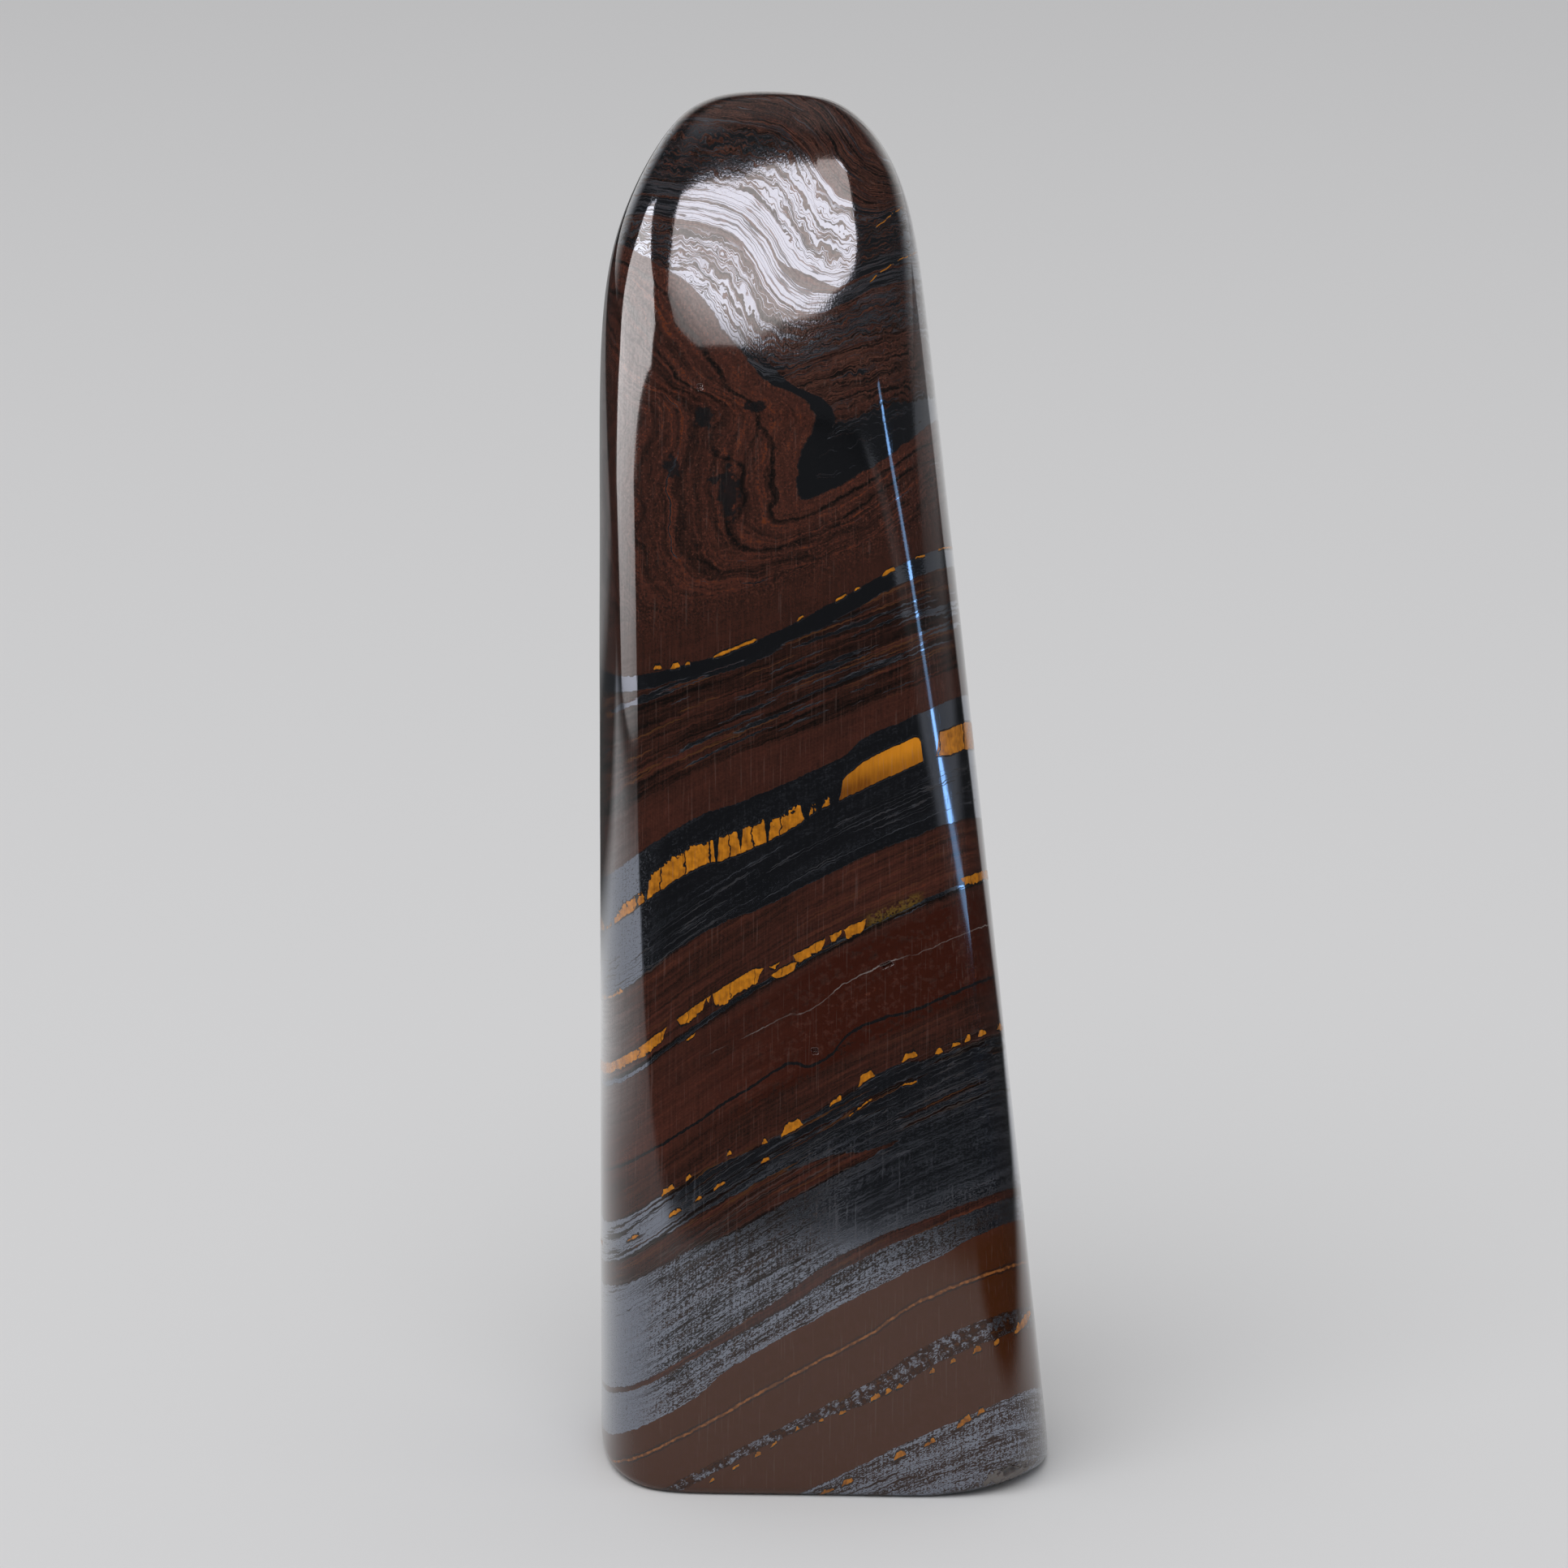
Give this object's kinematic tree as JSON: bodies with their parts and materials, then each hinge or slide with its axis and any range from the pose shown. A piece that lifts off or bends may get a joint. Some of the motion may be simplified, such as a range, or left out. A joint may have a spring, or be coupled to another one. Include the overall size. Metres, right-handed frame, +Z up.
{
  "type": "banded ironstone",
  "caption": "Free-standing polished tower of banded ironstone, with a flat base, softly edged facets and a blunt rounded crown.",
  "frame": {"origin": "centre of the bounding box, on the flat base the tower stands on", "axes": "+Z up the tower's length, -Y out of the broad front face, +X to the right of someone facing it; +Y is the thinnest way through"},
  "size_m": [0.0396, 0.0296, 0.12],
  "materials": {
    "ironstone": "gloss"
  },
  "bodies": {
    "root": {"ironstone_tower": "ironstone"}
  },
  "joints": []
}
